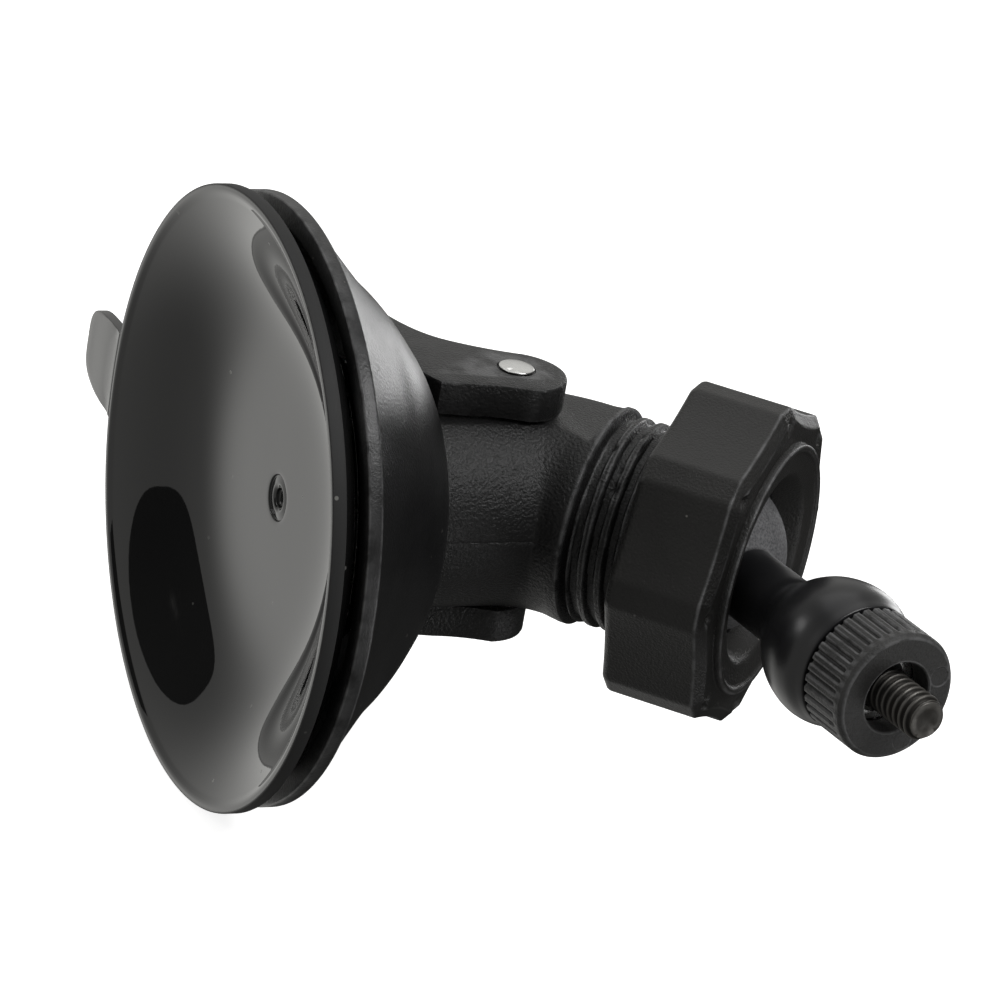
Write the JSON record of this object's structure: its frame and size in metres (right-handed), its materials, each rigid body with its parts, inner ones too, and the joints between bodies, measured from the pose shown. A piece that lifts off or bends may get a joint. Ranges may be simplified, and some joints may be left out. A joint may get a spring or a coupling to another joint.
{
  "type": "dash camera windscreen suction mount",
  "caption": "Round suction disc with a cam lever, a forty-five degree elbow, a ball joint held by a faceted clamp nut, and a threaded camera stud with a knurled lock ring.",
  "frame": {"origin": "centre of the suction disc's sealing plane, on the glass", "axes": "+X from the glass towards the arm, +Z along the lever pin, the elbow bends towards -Y and the lever and pull tab lie towards +Y"},
  "size_m": [0.0874, 0.1268, 0.085],
  "materials": {
    "soft_disc": "glossy smoky soft polyurethane",
    "satin_black": "satin black moulding",
    "grained_black": "black with a fine leather-like grain",
    "moulded_black": "plain black moulding",
    "moulded_grey": "smooth dark moulding, greyer on the ball",
    "bright_steel": "bright plated steel",
    "dark_steel": "blackened steel, worn bright on the crests"
  },
  "bodies": {
    "cup": {"cup_housing": "satin_black", "suction_disc": "soft_disc", "return_spring": "bright_steel"},
    "stem": {"elbow_arm": "grained_black", "disc_core": "moulded_black", "ball_seat": "moulded_black"},
    "lever": {"cam_lever": "grained_black", "lever_pin": "bright_steel"},
    "nut": {"clamp_nut": "grained_black"},
    "split_ring": {"clamp_ring": "moulded_black"},
    "arm": {"ball_arm": "moulded_grey", "threaded_stud": "dark_steel"},
    "locking_ring": {"lock_ring": "grained_black", "lock_ring_nut": "dark_steel"}
  },
  "joints": [
    {"name": "stem_slide", "type": "slide", "parent": "cup", "child": "stem", "axis": [1, 0, 0], "range_m": [-0.005, 0], "deforming": ["suction_disc", "return_spring"]},
    {"name": "lever_hinge", "type": "hinge", "parent": "stem", "child": "lever", "pos_m": [0.0414, 0, 0], "axis": [0, 0, -1], "range_deg": [0, 90]},
    {"name": "nut_turn", "type": "hinge", "parent": "stem", "child": "nut", "pos_m": [0.0473, 0, 0], "axis": [0.7071, -0.7071, 0], "range_deg": [0, 360]},
    {"name": "ball_swivel", "type": "hinge", "parent": "stem", "child": "split_ring", "pos_m": [0.0654, -0.0181, 0], "axis": [0.7071, -0.7071, 0], "range_deg": [-180, 180]},
    {"name": "ball_tilt", "type": "hinge", "parent": "split_ring", "child": "arm", "pos_m": [0.0654, -0.0181, 0], "axis": [0, 0, 1], "range_deg": [0, 70.6]},
    {"name": "lock_ring_turn", "type": "hinge", "parent": "arm", "child": "locking_ring", "pos_m": [0.0654, -0.0181, 0], "axis": [0.1685, -0.9857, 0], "continuous": true}
  ],
  "couplings": [
    {"joint": "lever_hinge", "follows": "stem_slide", "rad_per_m": -314.16}
  ]
}
